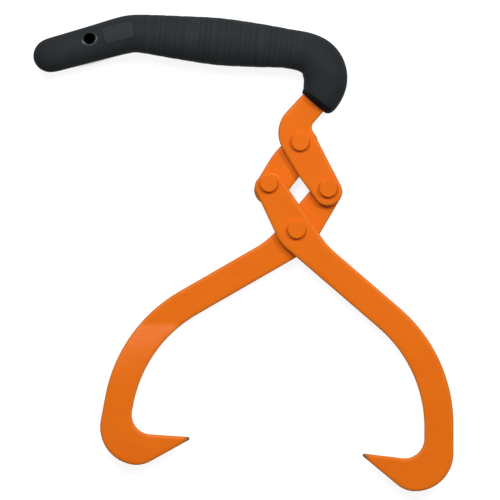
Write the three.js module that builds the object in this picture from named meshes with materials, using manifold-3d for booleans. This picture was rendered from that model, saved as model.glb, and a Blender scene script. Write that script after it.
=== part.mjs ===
// Log lifting tongs: a moulded grip on a steel plate, two hook arms crossed like scissors, and a short
// link. The four pivots stand at the corners of a parallelogram, so lifting the grip closes the hooks.
// Millimetres, +Z up. The tongs lie flat, hooks towards -Y, and the rivet heads face +Z.
// The origin is the centre of the main rivet's flat head.

import * as THREE from "three";
import { mergeVertices } from "three/addons/utils/BufferGeometryUtils.js";
import Module from "manifold-3d";

const manifoldLibrary = await Module();
manifoldLibrary.setup();

const degrees = THREE.MathUtils.degToRad;

// Plates: handle plate and right arm make the front layer, link and left arm the rear one
const plateThickness = 5;
const plateEdgeRound = 1;
const layerGap = 0.3;

// Pivots, as distances and directions from the main pivot
const leverLength = 36.4;
const linkSpread = 38;
const rightPivotAngle = degrees(52.7);

// Rivets
const rivetShankDiameter = 8;
const rivetHeadDiameter = 13;
const rivetHeadHeight = 2.8;
const rivetHeadRound = 1;
const rivetTailDiameter = 11.5;
const rivetTailHeight = 2.2;
const rivetHoleGap = 0.15;
const rivetSeatGap = 0.3;

// Hook arms: one blank, with the place of its shank and lever trimmed for each arm
const shankSlope = degrees(40.7);
const shankWidth = 20.3;
const rightShankDrop = 4.6;
const leftShankDrop = 6.6;
const jawReach = 109.9;
const jawWidth = 20.4;
const kneeInnerRadius = 92;
const kneeOuterRadius = 107;
const throatRadius = 13.8;
const heelDepth = 183.4;
const heelRadius = 28;
const toeRadius = 20.5;
const tipReach = 43.5;
const tipRise = 26.9;
const tipPointRadius = 0.2;
const toothTopSlope = degrees(6.9);
const toothPointAngle = degrees(32.7);
const leverBend = degrees(18.3);
const leverEndReach = 6.8;
const leverEndRadius = 7.8;
const leverTipWidth = 19.8;
const hubWidth = 26;
const rightLeverInset = 1.6;
const leftLeverInset = 2.6;
const hubRadius = 25;
const shoulderRadius = 60;

// Left arm: the blank turned over, swung to its place and stepped forward into the front layer
const leftArmSwing = degrees(-10.8);
const stepStart = 66.5;
const stepLength = 45;
const stepSlices = 6;

// Link, with how far it runs past each of its pivots
const linkWidth = 23.1;
const linkEndReach = 14;
const linkHiddenReach = 10.8;
const linkEndRadius = 10.5;
const linkHiddenRadius = 8;
const linkBowRadius = 45;

// Handle plate, with how far it runs past each of its pivots before its neck turns off into the grip
const handlePlateWidth = 26.2;
const handlePlateEndReach = 12;
const handlePlateShoulderReach = 20.7;
const handlePlateEndRadius = 9.5;
const handlePlateBowRadius = 60;
const shoulderRadiusAtNeck = 22;
const neckWidth = 18.8;
const neckRadius = 4.8;
const neckOffset = 1.6;
const neckInsideGrip = 75;

// Grip
const gripOffsetX = 10.2;
const gripOffsetY = 26.2;
const gripReach = 197;
const gripRise = 50;
const gripWidth = 33.2;
const gripDepth = 29.7;
const tailRound = 12.6;
const lipRound = 4;
const lipThinRound = 0.6;
const pocketGap = 0.3;
const hangHoleDiameter = 8.2;
const hangHoleFlare = 0.9;
const hangHoleFromTail = 41.8;
const hangHoleRise = 3.8;
const padFromTail = 68.5;
const padLength = 21;
const padHeight = 13;
const padRise = 3.8;
const padProud = 0.4;
const padCorner = 2.5;

// Rings moulded round the palm part of the grip
const ringStart = 84;
const ringEnd = 188;
const ringPitch = 10.6;
const ringGrooveWidth = 2.4;
const ringGrooveDepth = 0.3;

// Fineness of curved faces. The chords of an outline's arcs lie inside them by the sag at most.
const arcStep = degrees(12);
const arcSag = 0.04;
const plateEdgeSteps = 2;
const flareSteps = 3;
const roundSides = 32;
const gripSides = 28;
const gripStep = 7;
const stationSteps = 16;
const shortestEdge = 0.1;
const cutterOverrun = 20;

// Colours and finish
const orangePaint = new THREE.MeshStandardMaterial({ color: 0xe8701e, roughness: 0.42, metalness: 0 });
const blackMoulding = new THREE.MeshStandardMaterial({ color: 0x2c2d30, roughness: 0.6, metalness: 0 });

// Layers, from the flat faces of the rivet heads down
const frontLayerTop = -rivetHeadHeight - rivetSeatGap;
const frontLayerBottom = frontLayerTop - plateThickness;
const rearLayerTop = frontLayerBottom - layerGap;
const rearLayerBottom = rearLayerTop - plateThickness;
const layerPitch = plateThickness + layerGap;
const gripMiddle = (frontLayerTop + frontLayerBottom) / 2;

// Pivots
const mainPivot = new THREE.Vector2(0, 0);
const leftPivotAngle = Math.PI - shankSlope - leverBend;
const rightPivot = fromAngle(rightPivotAngle, leverLength);
const leftPivot = fromAngle(leftPivotAngle, linkSpread);
const upperPivot = rightPivot.clone().add(leftPivot);

function fromAngle(angle, length) {
  return new THREE.Vector2(Math.cos(angle), Math.sin(angle)).multiplyScalar(length);
}

// A line through a point, at an angle from +X
function line(x, y, angle) {
  return { point: new THREE.Vector2(x, y), along: fromAngle(angle, 1) };
}

// The point where two lines cross
function crossing(first, second) {
  const between = second.point.clone().sub(first.point);
  const distance = between.cross(second.along) / first.along.cross(second.along);
  return first.point.clone().addScaledVector(first.along, distance);
}

function corner(point, radius = 0) {
  return { point, radius };
}

// An outline through corners, each rounded by an arc of its own radius. Where two arcs meet on an edge
// that is too short for both, they are made smaller alike.
function roundedOutline(corners) {
  const edges = corners.map(({ point }, index) => {
    const next = corners[(index + 1) % corners.length];
    return next.point.clone().sub(point);
  });
  const turns = edges.map((edge, index) => edges.at(index - 1).angleTo(edge));
  const tangents = corners.map(({ radius }, index) => radius * Math.tan(turns[index] / 2));
  const fits = edges.map((edge, index) => {
    const taken = tangents[index] + tangents[(index + 1) % corners.length];
    return taken > 0 ? Math.min(1, edge.length() / taken) : 1;
  });
  const points = corners.flatMap(({ point, radius: wanted }, index) => {
    if (wanted === 0) return [point];
    const radius = wanted * Math.min(fits.at(index - 1), fits[index]);
    const back = edges.at(index - 1).clone().negate().normalize();
    const ahead = edges[index].clone().normalize();
    const turn = turns[index];
    const side = Math.sign(ahead.cross(back));
    const centre = back.clone().add(ahead).setLength(radius / Math.cos(turn / 2)).add(point);
    const start = point.clone().addScaledVector(back, radius * Math.tan(turn / 2)).sub(centre);
    const fineStep = 2 * Math.acos(Math.max(0, 1 - arcSag / radius));
    const steps = Math.ceil(turn / Math.min(arcStep, fineStep));
    return Array.from({ length: steps + 1 }, (_, step) =>
      start.clone().rotateAround(mainPivot, (side * turn * step) / steps).add(centre),
    );
  });
  const kept = points.filter((point, index) => point.distanceTo(points.at(index - 1)) > shortestEdge);
  return new THREE.Shape(kept);
}

// A plate with rounded edges between two heights
function plate(outline, bottom, thickness = plateThickness, edgeRound = plateEdgeRound) {
  const geometry = new THREE.ExtrudeGeometry(outline, {
    depth: thickness - 2 * edgeRound,
    bevelEnabled: edgeRound > 0,
    bevelThickness: edgeRound,
    bevelSize: edgeRound,
    bevelOffset: -edgeRound,
    bevelSegments: plateEdgeSteps,
  });
  return geometry.translate(0, 0, bottom + edgeRound);
}

// Closed geometry to solid and back
function toSolid(geometry) {
  const bare = geometry.clone();
  bare.deleteAttribute("normal");
  bare.deleteAttribute("uv");
  const merged = mergeVertices(bare);
  const mesh = new manifoldLibrary.Mesh({
    numProp: 3,
    vertProperties: merged.attributes.position.array,
    triVerts: new Uint32Array(merged.index.array),
  });
  return new manifoldLibrary.Manifold(mesh);
}

function toGeometry(solid) {
  const mesh = solid.getMesh();
  const geometry = new THREE.BufferGeometry();
  geometry.setAttribute("position", new THREE.BufferAttribute(mesh.vertProperties, 3));
  geometry.setIndex(new THREE.BufferAttribute(mesh.triVerts, 1));
  geometry.computeVertexNormals();
  return geometry;
}

// A round bar along Z, centred at a point in the plane
function roundBar(centre, diameter, bottom, top) {
  const bar = new THREE.CylinderGeometry(diameter / 2, diameter / 2, top - bottom, roundSides);
  return bar.rotateX(Math.PI / 2).translate(centre.x, centre.y, (top + bottom) / 2);
}

function withRivetHoles(solid, pivots) {
  const diameter = rivetShankDiameter + 2 * rivetHoleGap;
  const bottom = rearLayerBottom - cutterOverrun;
  const bars = pivots.map((pivot) => roundBar(pivot, diameter, bottom, cutterOverrun));
  return bars.reduce((drilled, bar) => drilled.subtract(toSolid(bar)), solid);
}

// The arm blank: lever, hub, shank, knee, jaw and tooth, with the lever at its own angle
function armOutline({ leverAngle, leverSpan, leverInset, shankDrop }) {
  const lever = (along, across) =>
    fromAngle(leverAngle, along).add(fromAngle(leverAngle - Math.PI / 2, across));
  const leverOuter = { point: lever(0, -hubWidth / 2 - leverInset), along: new THREE.Vector2() };
  leverOuter.along.copy(lever(leverSpan, -leverTipWidth / 2 - leverInset / 2)).sub(leverOuter.point);
  const leverInner = { point: lever(0, hubWidth / 2 - leverInset), along: new THREE.Vector2() };
  leverInner.along.copy(lever(leverSpan, leverTipWidth / 2 - leverInset / 2)).sub(leverInner.point);
  const leverEnd = { point: lever(leverSpan + leverEndReach, 0), along: lever(0, 1) };

  const shankNormal = fromAngle(Math.PI / 2 - shankSlope, 1);
  const outerOffset = shankNormal.clone().multiplyScalar(shankWidth / 2 - shankDrop);
  const innerOffset = shankNormal.clone().multiplyScalar(-shankWidth / 2 - shankDrop);
  const shankOuter = line(outerOffset.x, outerOffset.y, -shankSlope);
  const shankInner = line(innerOffset.x, innerOffset.y, -shankSlope);
  const jawOuter = line(jawReach, 0, -Math.PI / 2);
  const jawInner = line(jawReach - jawWidth, 0, -Math.PI / 2);
  const heelBottom = line(0, -heelDepth, Math.PI);
  const toothTop = line(tipReach, tipRise - heelDepth, Math.PI - toothTopSlope);
  const toothBack = line(tipReach, tipRise - heelDepth, Math.PI - toothTopSlope - toothPointAngle);

  return roundedOutline([
    corner(crossing(leverOuter, leverEnd), leverEndRadius),
    corner(crossing(leverOuter, shankInner), hubRadius),
    corner(crossing(shankInner, jawInner), kneeInnerRadius),
    corner(crossing(jawInner, toothTop), throatRadius),
    corner(crossing(toothTop, toothBack), plateEdgeRound + tipPointRadius),
    corner(crossing(toothBack, heelBottom), toeRadius),
    corner(crossing(heelBottom, jawOuter), heelRadius),
    corner(crossing(jawOuter, shankOuter), kneeOuterRadius),
    corner(crossing(shankOuter, leverInner), shoulderRadius),
    corner(crossing(leverInner, leverEnd), leverEndRadius),
  ]);
}

function rightArm() {
  const outline = armOutline({
    leverAngle: leftPivotAngle,
    leverSpan: linkSpread,
    leverInset: rightLeverInset,
    shankDrop: rightShankDrop,
  });
  const flat = toSolid(plate(outline, frontLayerBottom));
  return withRivetHoles(flat, [mainPivot, leftPivot]);
}

// How far the left arm has stepped forward at a share of the step: steep first, then easing out
function stepRise(share) {
  return layerPitch * (1 - (1 - share) ** 2);
}

function leftArm() {
  const outline = armOutline({
    leverAngle: Math.PI - rightPivotAngle + leftArmSwing,
    leverSpan: leverLength,
    leverInset: leftLeverInset,
    shankDrop: leftShankDrop,
  });
  const points = outline.getPoints().map((point) => {
    const turnedOver = new THREE.Vector2(-point.x, point.y);
    return turnedOver.rotateAround(mainPivot, leftArmSwing);
  });
  const flat = plate(new THREE.Shape(points), rearLayerBottom);
  const borders = Array.from({ length: stepSlices + 1 }, (_, step) => step / stepSlices);
  const upper = slice(flat, 0, 0, -stepStart, Infinity);
  const ramp = borders.slice(1).map((share, index) => {
    const above = borders[index];
    const slope = (stepRise(share) - stepRise(above)) / (stepLength / stepSlices);
    const top = -stepStart - above * stepLength;
    return slice(flat, slope, stepRise(above) + slope * top, top - stepLength / stepSlices, top);
  });
  const lower = slice(flat, 0, layerPitch, -Infinity, -stepStart - stepLength);
  const stepped = ramp.reduce((joined, part) => joined.add(part), upper).add(lower);
  return withRivetHoles(stepped, [mainPivot, rightPivot]);
}

// The part of a plate between two values of y, tilted by a slope across y and raised
function slice(geometry, slope, rise, bottom, top) {
  const tilt = new THREE.Matrix4().set(1, 0, 0, 0, 0, 1, 0, 0, 0, -slope, 1, rise, 0, 0, 0, 1);
  const tilted = geometry.clone().applyMatrix4(tilt);
  tilted.computeBoundingBox();
  const room = tilted.boundingBox.clone().expandByScalar(cutterOverrun);
  room.min.y = Math.max(room.min.y, bottom);
  room.max.y = Math.min(room.max.y, top);
  const size = room.getSize(new THREE.Vector3());
  const middle = room.getCenter(new THREE.Vector3());
  const placed = new THREE.Matrix4().makeScale(size.x, size.y, size.z).setPosition(middle);
  const block = new THREE.BoxGeometry(1, 1, 1).applyMatrix4(placed);
  return toSolid(tilted).intersect(toSolid(block));
}

// Corners of a plate that runs past two pivots, from shares of its length and of its width
function cornersAlong({ start, end, startReach, endReach, width, cornerShares, radii }) {
  const length = startReach + start.distanceTo(end) + endReach;
  const along = end.clone().sub(start).normalize();
  const across = along.clone().rotateAround(mainPivot, Math.PI / 2);
  return cornerShares.map(([alongShare, acrossShare], index) => {
    const point = start.clone().addScaledVector(along, alongShare * length - startReach);
    return corner(point.addScaledVector(across, acrossShare * width), radii[index]);
  });
}

// Link corners from its hidden upper end, down the outer side and back up the inner side
const linkCornerShares = [
  [0, -0.28],
  [0.474, -0.43],
  [1, -0.28],
  [1, 0.6],
  [0.474, 0.62],
  [0, 0.45],
];
const linkRadii = [
  linkHiddenRadius,
  linkBowRadius,
  linkEndRadius,
  linkEndRadius,
  linkBowRadius,
  linkHiddenRadius,
];

function link() {
  const corners = cornersAlong({
    start: upperPivot,
    end: leftPivot,
    startReach: linkHiddenReach,
    endReach: linkEndReach,
    width: linkWidth,
    cornerShares: linkCornerShares,
    radii: linkRadii,
  });
  const flat = toSolid(plate(roundedOutline(corners), rearLayerBottom));
  return withRivetHoles(flat, [upperPivot, leftPivot]);
}

// Grip centre line from the tail to the mouth and on to the plate's shoulder, and the width there.
// Shares of the grip's reach, rise and width, from the middle of the mouth.
const gripStationShares = [
  [-1.0, 0.622, 0.72],
  [-0.8, 0.84, 0.757],
  [-0.676, 0.974, 0.795],
  [-0.608, 1.0, 0.81],
  [-0.476, 0.935, 0.925],
  [-0.344, 0.882, 1.0],
  [-0.212, 0.832, 0.935],
  [-0.096, 0.782, 0.835],
  [-0.022, 0.717, 0.86],
  [0.0175, 0.607, 0.918],
  [0.039, 0.386, 0.938],
  [0.026, 0.15, 0.865],
  [0.0, 0.0, 0.735],
  [-0.05, -0.18, 0.6],
];
const mouthStation = gripStationShares.length - 2;
const gripMouth = new THREE.Vector2(upperPivot.x + gripOffsetX, upperPivot.y + gripOffsetY);
const centreLine = new THREE.CatmullRomCurve3(
  gripStationShares.map(
    ([x, y]) => new THREE.Vector3(gripMouth.x + x * gripReach, gripMouth.y + y * gripRise, gripMiddle),
  ),
);
const widthCurve = new THREE.SplineCurve(
  gripStationShares.map(([, , share], index) => new THREE.Vector2(index, share * gripWidth)),
);
const lengthsAlong = centreLine.getLengths(stationSteps * (gripStationShares.length - 1));
const centreLength = lengthsAlong.at(-1);
const gripLength = lengthsAlong[stationSteps * mouthStation];

// The centre line at a distance from the tail: place, direction across and full width
function gripStation(distance) {
  const t = centreLine.getUtoTmapping(distance / centreLength);
  const tangent = centreLine.getTangent(t);
  return {
    centre: centreLine.getPoint(t),
    across: new THREE.Vector3(-tangent.y, tangent.x, 0).normalize(),
    width: widthCurve.getPoint(t).y,
  };
}

// How far a quarter round has drawn in at a depth below its end, as a share of its radius
function quarterRound(radius, depth) {
  return depth >= radius ? 0 : 1 - Math.sqrt(1 - (1 - depth / radius) ** 2);
}

// How much the grip's radius is drawn in at a distance from the tail: round tail, lip and grooves.
// The lip is rolled least where the neck passes closest to the skin, on the side away from the heel.
function gripInset(distance, width, angle) {
  const lipHere = lipThinRound + (lipRound - lipThinRound) * Math.abs(Math.cos(angle / 2));
  const tail = (width / 2) * quarterRound(tailRound, distance);
  const lip = lipHere * quarterRound(lipHere, gripLength - distance);
  const fromGroove = Math.abs(((distance - ringStart + ringPitch / 2) % ringPitch) - ringPitch / 2);
  const ringed = distance > ringStart - ringGrooveWidth && distance < ringEnd + ringGrooveWidth;
  const groove = ringed ? ringGrooveDepth * Math.max(0, 1 - (2 * fromGroove) / ringGrooveWidth) : 0;
  return tail + lip + groove;
}

// Where the rounded tail and the rolled lip have sections, as shares of their own depths
const endSectionShares = [0.002, 0.06, 0.2, 0.4, 0.65, 1];

// Distances from the tail where the grip has a section, closer at the ends and at each groove
function gripDistances() {
  const tail = endSectionShares.map((share) => share * tailRound);
  const lip = endSectionShares.map((share) => gripLength - share * lipRound);
  const rings = [];
  for (let place = ringStart; place <= ringEnd; place += ringPitch) {
    rings.push(place - ringGrooveWidth / 2, place, place + ringGrooveWidth / 2, place + ringPitch / 2);
  }
  const plain = [];
  const plainEnd = gripLength - lipRound - gripStep / 2;
  for (let place = tailRound + gripStep; place < plainEnd; place += gripStep) {
    const beside = place < ringStart - ringGrooveWidth || place > rings.at(-1) + ringGrooveWidth;
    if (beside) plain.push(place);
  }
  return [...tail, ...plain, ...rings, ...lip].sort((a, b) => a - b);
}

// The grip's skin as a loft of oval sections, with its radius increased all over by a proud height
function gripSkin(proud = 0) {
  const positions = [];
  const sections = gripDistances().map(gripSection(proud));
  sections.forEach((section) => section.forEach((point) => positions.push(...point.toArray())));
  const count = sections.length;
  const tailCentre = count * gripSides;
  const mouthCentre = tailCentre + 1;
  positions.push(...gripStation(gripDistances()[0]).centre.toArray());
  positions.push(...gripStation(gripDistances().at(-1)).centre.toArray());
  const faces = [];
  for (let side = 0; side < gripSides; side += 1) {
    const next = (side + 1) % gripSides;
    faces.push(tailCentre, next, side);
    faces.push(mouthCentre, (count - 1) * gripSides + side, (count - 1) * gripSides + next);
    for (let row = 0; row < count - 1; row += 1) {
      const here = row * gripSides;
      const further = here + gripSides;
      faces.push(here + side, here + next, further + next);
      faces.push(here + side, further + next, further + side);
    }
  }
  const geometry = new THREE.BufferGeometry();
  geometry.setAttribute("position", new THREE.Float32BufferAttribute(positions, 3));
  geometry.setIndex(faces);
  return geometry;
}

function gripSection(proud) {
  return (distance) => {
    const { centre, across, width } = gripStation(distance);
    return Array.from({ length: gripSides }, (_, side) => {
      const angle = (2 * Math.PI * side) / gripSides;
      const radius = width / 2 - gripInset(distance, width, angle) + proud;
      const point = centre.clone().addScaledVector(across, radius * Math.cos(angle));
      point.z += (gripDepth / gripWidth) * radius * Math.sin(angle);
      return point;
    });
  };
}

// A band along the centre line between two distances from the tail, moved over by the neck's offset
function centreBand(from, to, halfWidth) {
  const steps = Math.ceil(Math.abs(from - to) / (gripStep / 2));
  const sides = [1, -1].map((side) =>
    Array.from({ length: steps + 1 }, (_, step) => {
      const { centre, across } = gripStation(from + ((to - from) * step) / steps);
      const edge = centre.addScaledVector(across, side * halfWidth - neckOffset);
      return new THREE.Vector2(edge.x, edge.y);
    }),
  );
  return { outer: sides[0], inner: sides[1] };
}

// Handle plate corners from the shoulder behind the neck, down the outer side and back up
const handlePlateCornerShares = [
  [0, -0.211],
  [0.177, -0.498],
  [0.58, -0.505],
  [1, -0.4],
  [0.9945, 0.31],
  [0.2126, 0.45],
];
const handlePlateRadii = [
  shoulderRadiusAtNeck,
  shoulderRadiusAtNeck,
  handlePlateBowRadius,
  handlePlateEndRadius,
  handlePlateEndRadius,
  neckRadius,
];

function handlePlate() {
  const neck = centreBand(gripLength, gripLength - neckInsideGrip, neckWidth / 2);
  const head = cornersAlong({
    start: upperPivot,
    end: rightPivot,
    startReach: handlePlateShoulderReach,
    endReach: handlePlateEndReach,
    width: handlePlateWidth,
    cornerShares: handlePlateCornerShares,
    radii: handlePlateRadii,
  });
  const outer = neck.outer.map((point) => corner(point));
  const inner = neck.inner.map((point) => corner(point)).reverse();
  const flat = toSolid(plate(roundedOutline([...head, ...outer, ...inner]), frontLayerBottom));
  return withRivetHoles(flat, [upperPivot, rightPivot]);
}

function grip() {
  const pocketEnd = gripLength - neckInsideGrip - pocketGap;
  const pocketBand = centreBand(gripLength + gripStep, pocketEnd, neckWidth / 2 + pocketGap);
  const pocketOutline = new THREE.Shape([...pocketBand.outer, ...pocketBand.inner.reverse()]);
  const pocket = plate(pocketOutline, frontLayerBottom - pocketGap, plateThickness + 2 * pocketGap, 0);
  return toSolid(gripSkin()).add(labelPad()).subtract(toSolid(pocket)).subtract(hangHole());
}

// The hanging hole, flared where it comes out through the sloping skin on each side
function hangHole() {
  const { centre, across, width } = gripStation(hangHoleFromTail);
  const middle = centre.clone().addScaledVector(across, hangHoleRise);
  const flatness = gripDepth / gripWidth;
  const skinHeight = flatness * Math.sqrt((width / 2) ** 2 - hangHoleRise ** 2);
  const skinSlope = (flatness ** 2 * hangHoleRise) / skinHeight;
  const radius = hangHoleDiameter / 2;
  const flare = Array.from({ length: flareSteps + 1 }, (_, step) => {
    const angle = (Math.PI / 2) * (step / flareSteps);
    const out = hangHoleFlare * (1 - Math.cos(angle));
    return new THREE.Vector2(radius + out, skinHeight - hangHoleFlare * (1 - Math.sin(angle)));
  });
  const profile = [
    new THREE.Vector2(0, -skinHeight / 2),
    new THREE.Vector2(radius, -skinHeight / 2),
    ...flare,
    new THREE.Vector2(radius + hangHoleFlare, skinHeight + cutterOverrun),
    new THREE.Vector2(0, skinHeight + cutterOverrun),
  ];
  const halves = [1, -1].map((side) => {
    const slopes = across.clone().multiplyScalar(-side * skinSlope);
    const shear = new THREE.Matrix4().set(1, 0, 0, 0, 0, 1, 0, 0, slopes.x, slopes.y, 1, 0, 0, 0, 0, 1);
    const half = new THREE.LatheGeometry(profile, roundSides).rotateX((side * Math.PI) / 2);
    return toSolid(half.applyMatrix4(shear).translate(middle.x, middle.y, gripMiddle));
  });
  return halves[0].add(halves[1]);
}

// A bare raised pad on the front of the grip, following its curve
function labelPad() {
  const { centre, across } = gripStation(padFromTail);
  const along = new THREE.Vector3(across.y, -across.x, 0);
  const middle = centre.clone().addScaledVector(across, padRise);
  const corners = [
    [1, 1],
    [-1, 1],
    [-1, -1],
    [1, -1],
  ].map(([alongSide, acrossSide]) => {
    const point = middle.clone().addScaledVector(along, (alongSide * padLength) / 2);
    point.addScaledVector(across, (acrossSide * padHeight) / 2);
    return corner(new THREE.Vector2(point.x, point.y), padCorner);
  });
  const column = plate(roundedOutline(corners), gripMiddle, gripWidth, 0);
  return toSolid(gripSkin(padProud)).intersect(toSolid(column));
}

// A rivet turned about its axis: flat head with a rounded rim, shank and formed tail
function rivet(pivot) {
  const headRadius = rivetHeadDiameter / 2;
  const tailRadius = rivetTailDiameter / 2;
  const tailTop = rearLayerBottom - rivetSeatGap;
  const profile = [
    [0, tailTop - rivetTailHeight],
    [tailRadius - rivetHeadRound, tailTop - rivetTailHeight],
    [tailRadius, tailTop - rivetTailHeight + rivetHeadRound],
    [tailRadius, tailTop],
    [rivetShankDiameter / 2, tailTop],
    [rivetShankDiameter / 2, -rivetHeadHeight],
    [headRadius, -rivetHeadHeight],
    [headRadius, -rivetHeadRound],
    [headRadius - rivetHeadRound * (1 - Math.SQRT1_2), -rivetHeadRound * (1 - Math.SQRT1_2)],
    [headRadius - rivetHeadRound, 0],
    [0, 0],
  ];
  const turned = new THREE.LatheGeometry(profile.map(([x, y]) => new THREE.Vector2(x, y)), roundSides);
  return turned.rotateX(Math.PI / 2).translate(pivot.x, pivot.y, 0);
}

function piece(name, geometry, material) {
  const mesh = new THREE.Mesh(geometry, material);
  mesh.name = name;
  return mesh;
}

const tongs = new THREE.Group();
tongs.add(piece("grip", toGeometry(grip()), blackMoulding));
tongs.add(piece("handle_plate", toGeometry(handlePlate()), orangePaint));
tongs.add(piece("link", toGeometry(link()), orangePaint));
tongs.add(piece("left_hook_arm", toGeometry(leftArm()), orangePaint));
tongs.add(piece("right_hook_arm", toGeometry(rightArm()), orangePaint));
tongs.add(piece("upper_rivet", rivet(upperPivot), orangePaint));
tongs.add(piece("right_rivet", rivet(rightPivot), orangePaint));
tongs.add(piece("left_rivet", rivet(leftPivot), orangePaint));
tongs.add(piece("main_rivet", rivet(mainPivot), orangePaint));

export default tongs;
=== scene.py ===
"""Log lifting tongs, dressed for a picture: painted plates and rivets, a moulded grip, a studio.

Everything is in metres, in the frame of the packed model: the tongs lie flat, with their hooks
towards -Y, and the rivet heads face +Z. The plates are the packed ones, copied and cleaned. The
grip and the rivets are modelled anew in the same places.
"""

import math

import bmesh
import bpy
import numpy as np
from mathutils import Matrix, Vector, kdtree


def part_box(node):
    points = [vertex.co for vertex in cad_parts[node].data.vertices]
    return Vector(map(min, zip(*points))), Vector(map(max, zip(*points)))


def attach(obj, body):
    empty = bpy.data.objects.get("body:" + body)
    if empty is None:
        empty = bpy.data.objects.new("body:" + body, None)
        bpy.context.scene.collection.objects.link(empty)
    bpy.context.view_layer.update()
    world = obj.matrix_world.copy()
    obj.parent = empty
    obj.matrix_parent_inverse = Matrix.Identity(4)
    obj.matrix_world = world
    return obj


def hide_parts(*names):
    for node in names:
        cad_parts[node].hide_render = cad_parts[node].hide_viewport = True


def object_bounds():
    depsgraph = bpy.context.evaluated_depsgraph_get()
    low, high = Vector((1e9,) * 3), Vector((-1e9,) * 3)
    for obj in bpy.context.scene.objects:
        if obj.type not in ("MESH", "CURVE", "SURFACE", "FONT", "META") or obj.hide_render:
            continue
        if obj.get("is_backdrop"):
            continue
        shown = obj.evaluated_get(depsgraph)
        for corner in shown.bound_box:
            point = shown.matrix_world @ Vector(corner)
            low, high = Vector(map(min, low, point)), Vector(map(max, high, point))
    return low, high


bl_info = {
    "name": "Log lifting tongs",
    "version": (1, 0, 0),
    "blender": (4, 5, 0),
    "location": "3D View > Sidebar > Tongs",
    "description": "Fine shapes, finishes and a small studio for the packed log lifting tongs",
    "category": "Object",
}

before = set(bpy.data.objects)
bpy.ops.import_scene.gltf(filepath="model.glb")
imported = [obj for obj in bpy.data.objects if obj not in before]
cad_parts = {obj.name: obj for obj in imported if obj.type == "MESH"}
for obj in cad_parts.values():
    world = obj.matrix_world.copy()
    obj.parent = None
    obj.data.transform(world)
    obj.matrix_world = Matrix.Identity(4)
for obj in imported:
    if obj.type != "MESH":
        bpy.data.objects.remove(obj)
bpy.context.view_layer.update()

PLATES = {
    "handle_plate": "handle",
    "link": "link",
    "left_hook_arm": "left_arm",
    "right_hook_arm": "right_arm",
}
RIVETS = {
    "upper_rivet": "handle",
    "right_rivet": "handle",
    "left_rivet": "right_arm",
    "main_rivet": "left_arm",
}

# Grip centre line from the tail to the mouth and on to the plate's shoulder, and the width there:
# shares of the grip's reach, rise and width, from the middle of the mouth
GRIP_STATION_SHARES = (
    (-1.0, 0.622, 0.72),
    (-0.8, 0.84, 0.757),
    (-0.676, 0.974, 0.797),
    (-0.648, 0.9935, 0.8),
    (-0.6195, 0.9925, 0.81),
    (-0.476, 0.935, 0.925),
    (-0.344, 0.882, 1.0),
    (-0.212, 0.832, 0.935),
    (-0.096, 0.782, 0.835),
    (-0.022, 0.717, 0.86),
    (0.0175, 0.607, 0.918),
    (0.039, 0.386, 0.938),
    (0.026, 0.15, 0.865),
    (0.0, 0.0, 0.735),
    (-0.05, -0.18, 0.6),
)
MOUTH_STATION = len(GRIP_STATION_SHARES) - 2

# Where the rounded tail and the rolled lip have sections, as shares of their own depths
END_SECTION_SHARES = (0.004, 0.06, 0.2, 0.4, 0.65, 1.0)

# Edges and faces are picked by place to within NEAR, corners closer than DOUBLE become one, and
# so do faces within FLAT_DEGREES of one plane
NEAR = 1e-5
DOUBLE = 1e-6
FLAT_DEGREES = 0.3

# An edge that bends by more than this many degrees stays sharp
PLATE_SHARP = 50
RIVET_SHARP = 40
GRIP_SHARP = 35

# How finely round shapes are made
LINE_STEPS = 64
GRIP_SIDES = 32
GRIP_LEVELS = 2
PAD_CORNER_STEPS = 8
HOLE_SIDES = 64
HOLE_FLARE_STEPS = 6
RIVET_SIDES = 72
HEAD_ROUND_STEPS = 6
TAIL_ROUND_STEPS = 5
FLOOR_SIDES = 96

# The hole's cutter goes on past the skin by this many flares
CUTTER_PAST = 5

# Noise scales of the finishes, in waves a metre
PEEL_SCALE = 620.0
FINE_PEEL_SCALE = 1500.0
COAT_CLOUD_SCALE = 46.0
GRAIN_SCALE = 1400.0
GRIP_CLOUD_SCALE = 60.0
RING_UNEVEN_SCALE = 110.0
RING_BAND_SCALE = 330.0

# Relief of both finishes, and their dull gloss
RELIEF_STRENGTH = 0.5
RELIEF_DEPTH = 0.0003
PAINT_SPECULAR = 0.11
GRIP_SPECULAR = 0.03

# Where the lighter edge, partly wear and partly a painted highlight, starts and where it is full,
# as the cosine of how far the surface has turned there, and how many rays look for the turn
EDGE_START = 0.985
EDGE_TURNED = 0.87
EDGE_SAMPLES = 6

# The finish shows this many rings for each groove in the mesh, darkened as painted shade, and fades
# them in and out
RINGS_A_GROOVE = 3
RING_FADE_IN = 0.012
RING_FADE_OUT = 0.004

# Painted shade on the face of the grip's mouth: how wide it is, and how softly it starts
LIP_SHADE_WIDTH = 0.004
LIP_SHADE_BLUR = 0.0004

# Rounded outlines: the higher, the squarer, and 2 is an oval
PAD_SQUARENESS = 7.0
OVAL = 2.0

# Lamps: where they stand from the middle of the picture, and how wide they are
KEY_PLACE = Vector((-0.22, 0.7, 1.27))
KEY_WIDTH = 0.6
EDGE_PLACE = Vector((0.75, 0.62, 1.15))
EDGE_WIDTH = 0.25
BRIGHTEST_SKY = Vector((0.05, 0.5, 0.86)).normalized()

# The floor: its size, how far it lies below the tongs, and how far round it feels their cover for
# its painted shadow
FLOOR_RADIUS = 4
FLOOR_GAP = 0.0002
COVER_REACH = 0.03
COVER_SAMPLES = 16


def length(name, description, default):
    return bpy.props.FloatProperty(
        name=name, description=description, default=default, min=0, unit="LENGTH", precision=5
    )


def share(name, description, default):
    return bpy.props.FloatProperty(
        name=name, description=description, default=default, min=0, max=1, subtype="FACTOR"
    )


def colour(name, description, default):
    return bpy.props.FloatVectorProperty(
        name=name, description=description, default=default, min=0, max=1, subtype="COLOR"
    )


def coordinate(name, description, default):
    return bpy.props.FloatProperty(
        name=name, description=description, default=default, unit="LENGTH"
    )


def strength(name, description, default):
    return bpy.props.FloatProperty(name=name, description=description, default=default, min=0)


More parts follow.
